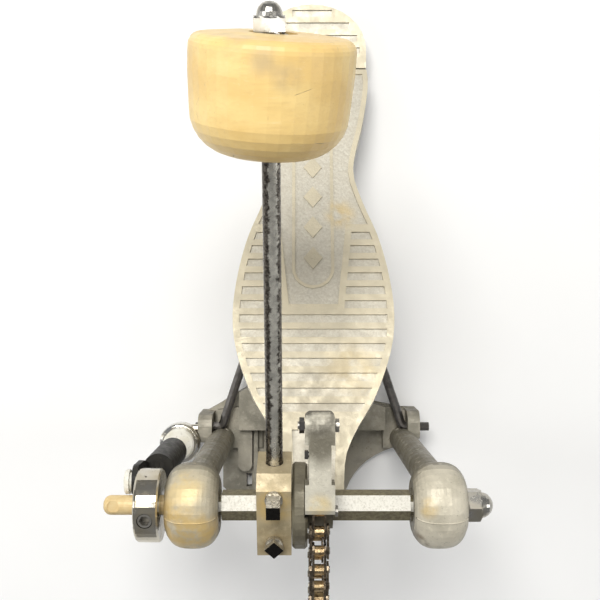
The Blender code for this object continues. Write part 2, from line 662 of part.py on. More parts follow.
def spring_anchor(frame):
    """Eye bolt in the left lug, nylon seat, tension rod and its nuts."""
    centre = (SPRING_X, SPRING_Y)
    rim = circle((33, 10.5), 2, 4, 0.0, math.pi / 2)
    eye = upended(lathe([(26, 3.6), (26, 11.5), (27, 12.5)] + rim[::-1] + [(35, 3.6)], 28))
    shank = cylinder("X", (19.5, 28), 2.4, -75, -64, 12)
    place("spring_anchor", frame, "chrome", join(eye, shank))
    seat = [(35.3, 3.5), (35.3, 9.5), (39.3, 9.5), (40.3, 8.5), (40.3, 3.5)]
    place("nylon_seat", frame, "nylon", upended(lathe(seat, 28)))
    low = SPRING_Z[0] - GAP
    rod = [(6, 0), (6, 3.1), (60, 3.1), (low - 4, 6.3), (low, 6.3), (low, 4.1), (low + 9, 4.1), (low + 9, 0)]
    place("tension_rod", frame, "chrome", upended(lathe(rod, 20, closed=False)))
    for name, bottom, top in (("tension_nut", 18, 25.4), ("tension_lock_nut", 12, 17.5)):
        nut = cut(prism("Z", hexagon(centre, 11), bottom, top), cylinder("Z", centre, 3.4, 0, 50, 16))
        place(name, frame, "steel", nut)


# ---------------------------------------------------------------- footboard


def board_half_width(distance):
    """Half the board's width at a distance from the hinge: a smooth curve through BOARD_WIDTHS."""
    spots = BOARD_WIDTHS
    i = max(k for k in range(len(spots) - 1) if distance >= spots[k][0] or k == 0)
    (a, wa), (b, wb) = spots[i], spots[i + 1]
    before = spots[max(i - 1, 0)]
    after = spots[min(i + 2, len(spots) - 1)]
    slope_a = (wb - before[1]) / (b - before[0])
    slope_b = (after[1] - wa) / (after[0] - a)
    t = (distance - a) / (b - a)
    span = b - a
    return ((2 * t ** 3 - 3 * t ** 2 + 1) * wa + (t ** 3 - 2 * t ** 2 + t) * span * slope_a
            + (3 * t ** 2 - 2 * t ** 3) * wb + (t ** 3 - t ** 2) * span * slope_b)


def on_board(mesh):
    """From a frame with X across, Y from hinge to toe and Z square to the tread, to the pedal's own."""
    down = Vector((0, -math.cos(BOARD_SLOPE), math.sin(BOARD_SLOPE)))
    up = Vector((0, math.sin(BOARD_SLOPE), math.cos(BOARD_SLOPE)))
    turn = Matrix((down.cross(up), down, up)).transposed().to_4x4()
    return moved(mesh, shift(0, *HINGE) @ turn)


def board_outline(start, end, inset, step=7.0):
    """The board's outline between two distances from the hinge, moved in by inset."""
    count = max(1, round((end - start) / step))
    spots = [start + (end - start) * i / count for i in range(count + 1)]
    right = [(board_half_width(v) - inset, v) for v in spots]
    return right + [(-x, v) for x, v in reversed(right)]


def panel_half_width(distance):
    """Half the width of the plain panel that splits the upper slots."""
    return 19.4 - (distance - 105.7) * 0.106


def slot_cutters():
    """The tread's cross slots: the first six are split by the panel."""
    low, high = BOARD_TOP - SLOT_DEPTH, BOARD_TOP + 2
    cutters = []
    for k in range(13):
        near = SLOT_FIRST + SLOT_PITCH * k - SLOT_WIDTH / 2
        far = near + SLOT_WIDTH
        w_near, w_far = board_half_width(near) - 3.9, board_half_width(far) - 3.9
        if k < 6:
            p_near, p_far = panel_half_width(near) + 3.8, panel_half_width(far) + 3.8
            for side in (-1, 1):
                outline = [(p_near, near), (w_near, near), (w_far, far), (p_far, far)]
                cutters.append(prism("Z", [(side * x, v) for x, v in outline], low, high))
        else:
            outline = [(-w_near, near), (w_near, near), (w_far, far), (-w_far, far)]
            cutters.append(prism("Z", outline, low, high))
    return cutters


def stadium(half_width, start, end, low, high):
    """A long block with round ends."""
    outline = circle((0, end - half_width), half_width, 12, 0.0, math.pi)
    outline += circle((0, start + half_width), half_width, 12, math.pi, math.pi)
    return prism("Z", outline, low, high)


def panel_cutter():
    """The sunken part of the tread: inside the rim near the heel, tapering between the upper slots."""
    shoulder, end = 107.3, 157.0
    outline = board_outline(4, shoulder, 3.0)
    half = len(outline) // 2
    taper = [(panel_half_width(shoulder), shoulder), (panel_half_width(end), end)]
    outline = outline[:half] + taper + [(-x, v) for x, v in reversed(taper)] + outline[half:]
    return prism("Z", outline, BOARD_TOP - SLOT_DEPTH, BOARD_TOP + 2)


def badge():
    """A raised stadium ring with five plain lozenges in it, on the sunken panel."""
    low, high = BOARD_TOP - SLOT_DEPTH - 0.5, BOARD_TOP - SLOT_DEPTH + 0.7
    start, end = 31.2, 147.2
    ring = cut(stadium(12.2, start, end, low, high), stadium(10.4, start + 1.8, end - 1.8, low - 1, high + 1))
    marks = []
    for i in range(5):
        centre = 50 + 19.6 * i
        outline = [(-5.5, centre), (0, centre - 7), (5.5, centre), (0, centre + 7)]
        marks.append(prism("Z", outline, low, high))
    return [ring] + marks


def pockets():
    """The hollows under the tread, between the skirt, the middle rib and the cross ribs."""
    cutters = []
    for start, end in ((9, 66), (70, 112), (116, 158), (162, 206)):
        spots = [start + (end - start) * i / 5 for i in range(6)]
        for side in (-1, 1):
            outline = [(side * (board_half_width(v) - 3.2), v) for v in spots]
            outline += [(side * 1.6, end), (side * 1.6, start)]
            cutters.append(prism("Z", outline, BOARD_TOP - 20, BOARD_TOP - BOARD_PLATE))
    return cutters


def knuckle(x_low, x_high, radius=3.8):
    return cylinder("X", HINGE, radius, x_low, x_high, 20)


def toe_lug():
    """The tongue between the chain's last plates, from under the toe out to the last pin."""
    pin = chain_pins()[-1]
    neck = [(6, 101.5), (6, 107.5), (-1, 110)]
    outline = circle(pin, 5, 8, math.radians(60), math.pi) + neck
    return prism("X", outline, CHAIN_X - 3.1, CHAIN_X + 3.1)


def footboard(body):
    top, skirt = BOARD_TOP, BOARD_TOP - BOARD_SKIRT
    mesh = prism("Z", board_outline(0.7, BOARD_LENGTH, 0), skirt, top)
    toe = box((-50, 50), (216, 280), (skirt - 1, top - 6.5))
    mesh = cut(mesh, toe, *pockets(), panel_cutter(), *slot_cutters())
    tread_end = [(-12, TREAD_LENGTH + 3), (12, TREAD_LENGTH + 3), (10.5, 263), (-10.5, 263)]
    mesh = on_board(cut(join(mesh, *badge()), prism("Z", tread_end, top - 1.6, top + 1)))
    room = [knuckle(*sorted((side * 9.9, side * 22.3)), 4.15) for side in (-1, 1)]
    mesh = join(cut(mesh, *room), knuckle(-9.9, 9.9), toe_lug())
    bores = [cylinder("X", HINGE, 2.3, -50, 50, 12), cylinder("X", chain_pins()[-1], 1.9, -20, 20, 12)]
    place("footboard", body, "board", cut(mesh, *bores))


# ---------------------------------------------------------------- heel


def heel_outline(inset, front):
    """Square at the front and a half ellipse at the back."""
    width = HEEL_HALF_WIDTH - inset
    depth = HEEL_END - HEEL_ROUND_FROM - inset
    outline = [(-width, front), (width, front)]
    for i in range(17):
        angle = math.pi * i / 16
        outline.append((width * math.cos(angle), HEEL_ROUND_FROM + depth * math.sin(angle)))
    return outline


def heel_plate(frame):
    front = HINGE[0] + 2.0
    mesh = prism("Z", heel_outline(0, front), 0, HEEL_TOP)
    mesh = cut(mesh, prism("Z", heel_outline(3.2, front + 3.2), -1, HEEL_TOP - 3.5))
    bosses = [cylinder("Z", (side * 12, 257), 4.0, 10.5, HEEL_TOP - 2, 12) for side in (-1, 1)]
    mesh = cut(join(mesh, *bosses), knuckle(-10.2, 10.2, 4.15))
    y, z = HINGE
    arm = [(y, z - 3.5), (front + 1, z - 3.5), (front + 1, HEEL_TOP), (y, HEEL_TOP)]
    for side in (-1, 1):
        reach = sorted((side * 10.2, side * 22))
        mesh = join(mesh, prism("X", arm, *reach), knuckle(*reach))
    slots = []
    for k in range(4):
        y = 255.7 + 7.87 * k
        back = max(y + 2.2 - HEEL_ROUND_FROM, 0) / (HEEL_END - HEEL_ROUND_FROM)
        half = HEEL_HALF_WIDTH * math.sqrt(1 - back ** 2) - 4
        slots.append(box((-half, half), (y - 2.2, y + 2.2), (HEEL_TOP - SLOT_DEPTH, HEEL_TOP + 2)))
    wire_room = box((-9, 9), (HINGE[0] - 8, front + 8), (-1, 10.5))
    bores = [cylinder("Z", (side * 12, 257), 1.9, -1, 14, 12) for side in (-1, 1)]
    mesh = cut(mesh, *slots, wire_room, *bores, cylinder("X", HINGE, 2.3, -50, 50, 12))
    place("heel_plate", frame, "board", mesh)
    place("heel_hinge_pin", frame, "steel", cylinder("X", HINGE, 2.0, -21.5, 21.5, 16))


def radius_rod(frame):
    """One bent wire: both ends hook into the lugs and its middle turns round under the heel plate."""
    hole_y, hole_z = ROD_HOLE
    half = [(73.0, hole_y, hole_z), (60, hole_y, hole_z)]
    half += bezier((58.5, hole_y, hole_z), (55.6, hole_y, hole_z), (54.6, 25.5, hole_z - 0.6), 5)
    half += bezier((19, 134, 11.1), (5, 172, 7), (5, 190, 7), 6)
    half += [(5, 252, 7)]
    turn = [(5 * math.cos(a), 257.5 + 5 * math.sin(a), 7) for a in (math.pi * i / 8 for i in range(9))]
    points = half + turn + [(-x, y, z) for x, y, z in reversed(half)]
    place("radius_rod", frame, "steel", sweep(points, WIRE_RADIUS, 10))


def rod_clamp(frame):
    plate = box((-17, 17), (252.2, 262.4), (2.2, 4.0))
    bores = [cylinder("Z", (side * 12, 257), 2.0, -1, 5, 12) for side in (-1, 1)]
    place("rod_clamp_plate", frame, "steel", cut(plate, *bores))
    for side, name in ((-1, "rod_clamp_screw_left"), (1, "rod_clamp_screw_right")):
        screw = join(cylinder("Z", (side * 12, 257), 1.6, 1, 13.4, 12),
                     cylinder("Z", (side * 12, 257), 3.2, 0.4, 1.9, 12))
        place(name, frame, "steel", screw)


# ---------------------------------------------------------------- hoop clamp


def clamp_jaw(body):
    """The lever that presses a drum hoop down on the base's nose. Its outline is (Y, Z)."""
    y, z = JAW_PIVOT
    outline = [(-36.5, 18.4), (-33, 17.6), (-16, 18.4)]
    outline += circle((y, z), 4.0, 6, math.radians(240), math.radians(60))
    outline += [(0, 21.4), (12, 21.4), (12, 24.6), (0, 25.4), (-12, 26), (-30, 23.6), (-36.5, 21.4)]
    mesh = prism("X", outline, -JAW_HALF_WIDTH, JAW_HALF_WIDTH)
    bores = [cylinder("X", JAW_PIVOT, 2.3, -20, 20, 12), cylinder("Z", (0, SCREW_Y), 3.3, 0, 50, 16)]
    place("clamp_jaw", body, "cast", cut(mesh, *bores))
    place("clamp_pivot_pin", body, "steel", cylinder("X", JAW_PIVOT, 2.0, -19.6, 19.6, 16))


def clamp_screw(body):
    """The wing screw that lifts the jaw's tail."""
    shank = cylinder("Z", (0, SCREW_Y), 2.9, PLATE_TOP + GAP, 29, 16)
    hub = cylinder("Z", (0, SCREW_Y), 4.4, 26.4, 29.6, 16)
    wings = [(-3, 27), (3, 27), (12, 29), (12.5, 32.4), (8.5, 32.6), (3, 29.6), (-3, 29.6), (-8.5, 32.6),
             (-12.5, 32.4), (-12, 29)]
    wing = prism("Y", wings, SCREW_Y - 1.3, SCREW_Y + 1.3)
    place("clamp_wing_screw", body, "chrome", join(shank, hub, wing))


# ---------------------------------------------------------------- build


def clear_scene():
    for old in list(bpy.data.objects):
        bpy.data.objects.remove(old)


def build():
    clear_scene()
    frame = pivot("frame_origin", 0, 0, 0)
    shaft = pivot("beater_shaft_axis", 0, 0, SHAFT_HEIGHT)
    board = pivot("footboard_axis", 0, *HINGE)
    hook = pivot("stirrup_axis", SPRING_X, SPRING_Y, ROCKER_PIN[1])
    jaw = pivot("clamp_jaw_axis", 0, *JAW_PIVOT)
    screw = pivot("clamp_screw_axis", 0, SCREW_Y, 20)
    rod = pivot("beater_axis", BEATER_X, 0, SHAFT_HEIGHT)

    base_casting(frame)
    for side, word in ((-1, "left"), (1, "right")):
        upright(frame, side, word + "_upright")
        bearing(frame, side, word + "_bearing")
    hex_shaft(shaft)
    shaft_nut(shaft)
    rod_holder(shaft)
    square_bolt(shaft, "rod_lock_bolt", 14, 4.5, 12.4, math.pi / 4)
    square_bolt(shaft, "shaft_lock_bolt", -10.4, -6, 5.4, 0.0)
    beater(rod)
    cam_wheel(shaft)
    cam_arm(shaft)
    cam_fasteners(shaft)
    chain()
    spring_rocker(shaft)
    stirrup(hook)
    spring(frame)
    spring_anchor(frame)
    footboard(board)
    heel_plate(frame)
    radius_rod(frame)
    rod_clamp(frame)
    clamp_jaw(jaw)
    clamp_screw(screw)


build()
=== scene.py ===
"""Looks of the bass drum pedal: materials, fine pieces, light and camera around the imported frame.

Lengths are in millimetres until they reach Blender. +Z is up, +Y points to the player's heel and +X to
the right.
"""

import json
import math

import bmesh
import bpy
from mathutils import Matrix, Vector

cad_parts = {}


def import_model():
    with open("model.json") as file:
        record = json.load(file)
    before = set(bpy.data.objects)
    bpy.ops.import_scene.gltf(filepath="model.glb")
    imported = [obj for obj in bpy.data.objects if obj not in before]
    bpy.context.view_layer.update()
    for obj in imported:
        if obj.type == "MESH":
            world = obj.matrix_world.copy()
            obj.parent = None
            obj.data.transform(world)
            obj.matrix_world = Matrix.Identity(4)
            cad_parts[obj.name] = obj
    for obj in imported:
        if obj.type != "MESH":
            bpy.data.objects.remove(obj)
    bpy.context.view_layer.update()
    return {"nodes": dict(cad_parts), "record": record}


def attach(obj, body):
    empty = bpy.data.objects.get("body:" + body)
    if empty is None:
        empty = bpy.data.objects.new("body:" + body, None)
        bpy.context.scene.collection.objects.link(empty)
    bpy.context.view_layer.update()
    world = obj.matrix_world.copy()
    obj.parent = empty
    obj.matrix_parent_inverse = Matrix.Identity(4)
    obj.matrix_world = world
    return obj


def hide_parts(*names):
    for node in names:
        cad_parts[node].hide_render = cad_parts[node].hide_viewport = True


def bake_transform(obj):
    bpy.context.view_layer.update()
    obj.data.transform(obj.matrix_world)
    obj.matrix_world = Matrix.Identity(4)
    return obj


MM = 0.001
TURN = 2 * math.pi

# Camera, straight above the pedal
CAMERA_AT = (-7.6, 99.0, 580.0)
CAMERA_LENS = 53.4
SENSOR_WIDTH = 36
NEAREST_SEEN = 10.0

# Beater shaft and its bearing housings
SHAFT_HEIGHT = 150.0
STUB_END = -73.0                # the shaft's bare stub lies to the left of this
HOUSING_X = 59.0
HOUSING_HALF_WIDTH = 12.7
HOUSING_RADIUS = 20.5
HOUSING_ROUNDNESS = 2.8         # exponent of the barrel's superellipse
HOUSING_FIRST_ANGLE = math.radians(30.4)    # where on the superellipse the barrel's flat ends start

# Beater and its holder
BEATER_SLOPE = math.radians(20)
BEATER_X = -19.7
BOLT_ENDS_FROM = 19.5           # above the shaft's middle along the holder's bolts, past their flanges

# Chain
CHAIN_X = 1.3
PLATES_FROM = 2.1               # distance from CHAIN_X where the plates begin
RIVETS_FROM = 4.52              # and where only the rivets' ends stand out

# Spring and the rod below it
SPRING_AXIS = (-81.5, 11.0)     # X and Y
SPRING_Z = (70.0, 107.7)
SPRING_RADIUS = 6.5
SPRING_WIRE = 1.0
SPRING_TURNS = 15
SPRING_STEPS = 24               # points on each turn
MIDDLE_SQUEEZE = 0.018          # how far turns are drawn towards the middle, as a share of the length
THREAD_TOP = 58.0               # the thread runs out just above this
THREAD_PITCH = 1.1

# Footboard and heel plate
BOARD_SLOPE = math.radians(20)
HINGE = (243.0, 18.0)           # Y and Z
BOARD_TOP = 3.76                # height of the tread above the hinge axis, square to the board
BOARD_END = 244.0
SLOT_DEPTH = 1.2
HEEL_TOP = 20.0

# Edges of CAD nodes that are rounded off, and by how much
WORN_EDGES = {"rod_holder": 0.5, "cam_arm": 0.4}
SHARP = math.radians(40)        # edges sharper than this are rounded

# Mould seams over the bearing housings
SEAM_LEAN = math.radians(12)    # from the top towards the front
SEAM_FIRST_ANGLE = math.radians(36)
SEAM_STEPS = 24
SEAM_RADIUS = 0.42
SEAM_SUNK = 0.18                # how far the seam's middle lies under the surface

# Studio
LIGHTS_AIM = (0.0, 90.0, 100.0)
LIGHTS = (                      # name, place, size, power in watts and colour
    ("key", (-150, 620, 1250), (600, 500), 15, (1.0, 0.985, 0.95)),
    ("left", (-1000, 100, 750), (300, 900), 3.6, (1.0, 1.0, 1.0)),
    ("right", (1100, 0, 800), (250, 900), 2.9, (1.0, 1.0, 1.0)),
)
SKY_COLOUR = (0.97, 0.98, 1.0, 1.0)
SKY_STRENGTH = 0.26
FLOOR_HALF = 1600.0
FLOOR_Z = -0.4

# Colours that several finishes share, as linear RGB
TAN = (0.62, 0.45, 0.19)
GRIME = (0.10, 0.085, 0.06)

# Stains, and on the board one patch of painted shade: centre, reach and colour
LEFT_HOUSING_STAINS = (
    ((-70, -6, 166), 22, TAN),
    ((-56, -10, 165), 16, TAN),
    ((-62, 12, 167), 13, (0.66, 0.53, 0.29)),
)
RIGHT_HOUSING_STAINS = (
    ((51, 3, 170), 7, (0.56, 0.44, 0.24)),
    ((50, -14, 160), 6, (0.20, 0.15, 0.09)),
)
HOLDER_STAINS = (
    ((-20, 4, 168), 12, TAN),
    ((-20, -14, 160), 12, (0.27, 0.20, 0.10)),
)
CAM_ARM_STAINS = (
    ((1, 5, 176), 8, (0.66, 0.55, 0.33)),
    ((1, 36, 176), 17, (0.17, 0.155, 0.115)),
    ((1, 47, 174), 13, (0.10, 0.09, 0.07)),
)
BOARD_STAINS_AND_SHADE = (
    ((16, 150, 56), 12, (0.66, 0.49, 0.20)),
    ((20, 60, 90), 22, (0.60, 0.49, 0.28)),
    # painted shade at the toe of the tread, under the cam arm
    ((6, 40, 94), 34, (0.36, 0.32, 0.24)),
)

# Smudges on the beater head: centre, reach and weight
SMUDGE_COLOUR = (0.46, 0.35, 0.21)
SMUDGES = (
    ((-38, 203, 243), 9, 0.55),
    ((-30, 195, 248), 9, 0.6),
    ((-21, 187, 252), 9, 0.65),
    ((-12, 180, 254), 9, 0.7),
    ((-14, 212, 236), 15, 0.35),
)

# ---------------------------------------------------------------- building a material


class Finish:
    """A material being built: its node tree, its Principled shader and the surface's own coordinates."""

    def __init__(self, name, metallic):
        self.material = bpy.data.materials.new(name)
        self.material.use_nodes = True
        self.nodes = self.material.node_tree.nodes
        self.shader = self.nodes["Principled BSDF"]
        self.set("Metallic", metallic)
        coordinates = self.nodes.new("ShaderNodeTexCoord")
        self.place = coordinates.outputs["Object"]
        self.facing = coordinates.outputs["Normal"]

    def set(self, name, value):
        """Set one of the shader's own values, the same all over the surface."""
        self.shader.inputs[name].default_value = value

    def link(self, value, socket):
        """Plug in a node's output, or set a plain number or colour."""
        if isinstance(value, bpy.types.NodeSocket):
            self.material.node_tree.links.new(value, socket)
        elif isinstance(value, tuple) and len(value) == 3 and socket.type == "RGBA":
            socket.default_value = (*value, 1)
        else:
            socket.default_value = value

    def stretched(self, x, y, z):
        """The coordinates with each axis scaled, which draws patterns out along the smallest."""
        node = self.nodes.new("ShaderNodeMapping")
        node.inputs["Scale"].default_value = (x, y, z)
        self.link(self.place, node.inputs["Vector"])
        return node.outputs["Vector"]

    def turned(self, angle):
        """The coordinates turned about the X axis."""
        node = self.nodes.new("ShaderNodeMapping")
        node.inputs["Rotation"].default_value = (angle, 0, 0)
        self.link(self.place, node.inputs["Vector"])
        return node.outputs["Vector"]

    def axis(self, name, where=None):
        """One coordinate of the place, or of another vector."""
        node = self.nodes.new("ShaderNodeSeparateXYZ")
        self.link(where or self.place, node.inputs["Vector"])
        return node.outputs[name]

    def noise(self, size, detail=4.0, rough=0.55, where=None):
        """Cloudy noise with blotches of about the given size."""
        node = self.nodes.new("ShaderNodeTexNoise")
        node.inputs["Scale"].default_value = 1 / (size * MM)
        node.inputs["Detail"].default_value = detail
        node.inputs["Roughness"].default_value = rough
        self.link(where or self.place, node.inputs["Vector"])
        return node.outputs["Fac"]

    def cells(self, size, feature="F1", where=None):
        """Distance to the nearest of scattered points, or to the cracks between them."""
        node = self.nodes.new("ShaderNodeTexVoronoi")
        node.feature = feature
        node.inputs["Scale"].default_value = 1 / (size * MM)
        self.link(where or self.place, node.inputs["Vector"])
        return node.outputs["Distance"]

    def remap(self, value, low, high, to_low=0.0, to_high=1.0):
        """A value moved smoothly from one range to another, and held at its ends."""
        node = self.nodes.new("ShaderNodeMapRange")
        node.interpolation_type = "SMOOTHSTEP"
        for socket, number in zip(node.inputs[1:5], (low, high, to_low, to_high)):
            socket.default_value = number
        self.link(value, node.inputs["Value"])
        return node.outputs["Result"]

    def calc(self, operation, a, b=0.0):
        """One step of arithmetic on two values, or on the first alone."""
        node = self.nodes.new("ShaderNodeMath")
        node.operation = operation
        self.link(a, node.inputs[0])
        self.link(b, node.inputs[1])
        return node.outputs["Value"]

    def mix(self, factor, a, b):
        """Colour a where the factor is 0 and colour b where it is 1, by the node's colour sockets."""
        node = self.nodes.new("ShaderNodeMix")
        node.data_type = "RGBA"
        self.link(factor, node.inputs["Factor"])
        self.link(a, node.inputs[6])
        self.link(b, node.inputs[7])
        return node.outputs[2]

    def patches(self, size, low, high, to_low=0.0, to_high=1.0, detail=4.0, rough=0.55, where=None):
        """Noise of the given size, remapped from between two of its levels."""
        return self.remap(self.noise(size, detail, rough, where), low, high, to_low, to_high)

    def uneven(self, size, low, high, detail=4.0):
        """A roughness that drifts between two values in patches of the given size."""
        return self.patches(size, 0.3, 0.7, low, high, detail)

    def shade_by_facing(self, low=-0.2, high=0.75):
        """1 where the surface faces to the side or down at rest and 0 where it faces up: the mask for
        painted shade on surfaces turned away from the lights.
        """
        return self.remap(self.axis("Z", self.facing), low, high, 1.0, 0.0)

    def near(self, centre, inner, outer):
        """1 within the inner distance of a point and 0 beyond the outer one."""
        node = self.nodes.new("ShaderNodeVectorMath")
        node.operation = "DISTANCE"
        self.link(self.place, node.inputs[0])
        node.inputs[1].default_value = tuple(c * MM for c in centre)
        return self.remap(node.outputs["Value"], inner * MM, outer * MM, 1.0, 0.0)

    def stain_and_shade_patch(self, colour, centre, inner, outer, tint, patchy):
        """The colour with a patchy stain round a point laid over it; on the board one such patch is painted
        shade.
        """
        return self.mix(self.calc("MULTIPLY", self.near(centre, inner, outer), patchy), colour, tint)

    def bump(self, height, depth, strength=1.0):
        """Add relief of the given depth on top of what is there."""
        node = self.nodes.new("ShaderNodeBump")
        node.inputs["Strength"].default_value = strength
        node.inputs["Distance"].default_value = depth * MM
        self.link(height, node.inputs["Height"])
        normal = self.shader.inputs["Normal"]
        if normal.links:
            self.link(normal.links[0].from_socket, node.inputs["Normal"])
        self.link(node.outputs["Normal"], normal)

    def done(self, colour, roughness):
        """Plug in the finished colour and roughness, and hand over the material."""
        self.link(colour, self.shader.inputs["Base Color"])
        self.link(roughness, self.shader.inputs["Roughness"])
        return self.material


# ---------------------------------------------------------------- finishes


def cast_metal(name, dark, light, side=(0.13, 0.115, 0.08), stains=()):
    """Cast aluminium: cloudy grey, painted shade on the sides, grime, rubbed spots, stains and a pebbled,
    pitted skin.
    """
    made = Finish(name, 0.3)
    colour = made.mix(made.patches(16, 0.35, 0.65, detail=5), dark, light)
    # painted shade: surfaces that face to the side or down at rest are mixed towards the side colour
    colour = made.mix(made.remap(made.shade_by_facing(), 0, 1, 0, 0.8), colour, side)
    colour = made.mix(made.patches(1.3, 0.58, 0.75, 0, 0.55, detail=3, rough=0.7), colour, GRIME)
    rubbed = tuple(min(c * 1.4, 1) for c in light)
    colour = made.mix(made.patches(2.6, 0.55, 0.7, 0, 0.3), colour, rubbed)
    for centre, reach, tint in stains:
        patchy = made.patches(9, 0.3, 0.6, detail=5)
        colour = made.stain_and_shade_patch(colour, centre, reach * 0.35, reach, tint, patchy)
    made.bump(made.noise(1.6, 5, 0.65), 0.35, 0.6)
    made.bump(made.remap(made.cells(2.2), 0.0, 0.22), 0.12, 0.5)
    return made.done(colour, made.uneven(7, 0.38, 0.62))


def tread_metal():
    """The footboard and heel plate: paler cast metal with painted shade on the sides, pale slot floors,
    stains and painted shade at the toe.
    """
    made = Finish("tread_metal", 0.35)
    colour = made.mix(made.patches(22, 0.35, 0.65, detail=5), (0.57, 0.515, 0.385), (0.65, 0.585, 0.435))
    # painted shade: board surfaces that face to the side or down are darkened
    colour = made.mix(made.remap(made.shade_by_facing(0.0, 0.7), 0, 1, 0, 0.7), colour, (0.24, 0.21, 0.15))

    tread = HINGE[0] * math.sin(BOARD_SLOPE) + HINGE[1] * math.cos(BOARD_SLOPE) + BOARD_TOP
    slot_floor = tread - SLOT_DEPTH
    above_board = made.axis("Z", made.turned(BOARD_SLOPE))
    low = made.remap(above_board, (slot_floor + 0.05) * MM, (slot_floor + 0.15) * MM, 1.0, 0.0)
    on_board = made.remap(made.axis("Y"), BOARD_END * MM, (BOARD_END + 1) * MM, 1, 0)
    heel_floor = HEEL_TOP - SLOT_DEPTH
    heel_low = made.remap(made.axis("Z"), (heel_floor + 0.05) * MM, (heel_floor + 0.15) * MM, 1, 0)
    facing_up = made.remap(made.axis("Z", made.facing), 0.9, 0.95)
    heel_slots = made.calc("MULTIPLY", heel_low, facing_up)
    dusty = made.patches(1.5, 0.35, 0.7, detail=5, rough=0.7)
    floors = made.mix(dusty, (0.54, 0.50, 0.41), (0.66, 0.63, 0.54))
    colour = made.mix(made.calc("MULTIPLY", low, on_board), colour, floors)
    on_heel = made.calc("SUBTRACT", 1.0, on_board)
    colour = made.mix(made.calc("MULTIPLY", heel_slots, on_heel), colour, floors)

    colour = made.mix(made.patches(1.2, 0.62, 0.78, 0, 0.5, rough=0.7), colour, (0.30, 0.26, 0.18))
    for centre, reach, tint in BOARD_STAINS_AND_SHADE:
        patchy = made.patches(8, 0.3, 0.6, 0, 0.6, detail=5)
        colour = made.stain_and_shade_patch(colour, centre, reach * 0.3, reach, tint, patchy)
    made.bump(made.noise(2.0, 5, 0.6), 0.35, 0.6)
    made.bump(made.remap(made.cells(1.6), 0, 0.3), 0.10, 0.5)
    return made.done(colour, made.uneven(6, 0.42, 0.62))


def chrome(name, colour=(0.72, 0.72, 0.70), spots=0.6, spot_size=1.1, smooth=0.10):
    """Plating with a faint yellow haze and dark rust spots of the given size."""
    made = Finish(name, 1.0)
    pitting = made.patches(spot_size, 0.60, 0.68, 0, spots, detail=6, rough=0.75)
    haze = made.patches(12, 0.35, 0.7)
    hazed = tuple(c * share for c, share in zip(colour, (0.86, 0.80, 0.68)))
    tint = made.mix(haze, colour, hazed)
    tint = made.mix(pitting, tint, (0.045, 0.035, 0.028))
    made.bump(pitting, 0.05, 0.5)
    dull = made.remap(haze, 0, 1, smooth, smooth + 0.12)
    return made.done(tint, made.calc("ADD", dull, made.calc("MULTIPLY", pitting, 0.4)))


def hex_plating():
    """The hex shaft: a painted highlight, bright and speckled, on top, painted shade, mottled brown, on its
    other flats, and a tan stub.
    """
    made = Finish("hex_shaft_plating", 0.1)
    # painted highlight: the bright top flat
    top = made.mix(made.patches(1.0, 0.45, 0.7, rough=0.7), (0.70, 0.68, 0.61), (0.50, 0.48, 0.41))
    # painted shade: the mottled dark brown of the other flats
    brown = made.patches(2.2, 0.35, 0.65, detail=5, rough=0.7)
    flats = made.mix(brown, (0.20, 0.175, 0.10), (0.11, 0.09, 0.05))
    right_of_stub = made.remap(made.axis("X"), STUB_END * MM, (STUB_END + 0.5) * MM)
    colour = made.mix(made.calc("MULTIPLY", made.shade_by_facing(0.82, 0.9), right_of_stub), top, flats)
    stub = made.mix(made.noise(2.5, 4), (0.80, 0.66, 0.38), (0.62, 0.42, 0.17))
    colour = made.mix(right_of_stub, stub, colour)
    made.bump(made.noise(1.2, 4, 0.7), 0.08, 0.5)
    return made.done(colour, made.uneven(1.6, 0.45, 0.6))


def rod_plating():
    """The beater rod: plating worn to a pale ragged stripe, partly a painted highlight along its top, with
    dark rust to both sides of it.
    """
    made = Finish("beater_rod_plating", 0.85)
    middle = BEATER_X + 0.6
    raggedness = 7.0
    ragged = made.calc("MULTIPLY", made.calc("SUBTRACT", made.noise(3.5, 6, 0.75), 0.5), raggedness * MM)
    across = made.calc("ADD", made.calc("SUBTRACT", made.axis("X"), middle * MM), ragged)
    # partly painted highlight: the pale stripe runs along the middle of the rod as seen from above
    stripe = made.remap(made.calc("ABSOLUTE", across), 1.3 * MM, 2.3 * MM, 1, 0)
    pale = made.mix(made.patches(6, 0.35, 0.65), (0.74, 0.71, 0.62), (0.52, 0.50, 0.44))
    specks = made.patches(1.4, 0.4, 0.65, detail=6, rough=0.75)
    rust = made.mix(specks, (0.035, 0.028, 0.022), (0.20, 0.18, 0.15))
    made.bump(made.noise(1.2, 5, 0.7), 0.06, 0.5)
    return made.done(made.mix(stripe, rust, pale), made.uneven(2, 0.18, 0.4))


def plain_steel(name, colour, rough=0.38, spots=0.7):
    """Turned or drawn steel with fine scratches, dull patches and some rust."""
    made = Finish(name, 0.9)
    dull = made.patches(5, 0.35, 0.7, detail=5)
    tint = made.mix(dull, colour, tuple(c * 0.55 for c in colour))
    rust = made.patches(1.8, 0.6, 0.7, 0, spots, detail=6, rough=0.7)
    tint = made.mix(rust, tint, (0.10, 0.055, 0.03))
    scratches = made.noise(0.5, 2, where=made.stretched(0.12, 1, 1))
    made.bump(scratches, 0.06, 0.35)
    made.bump(made.noise(2.0, 4), 0.08, 0.4)
    return made.done(tint, made.remap(dull, 0, 1, rough, rough + 0.2))


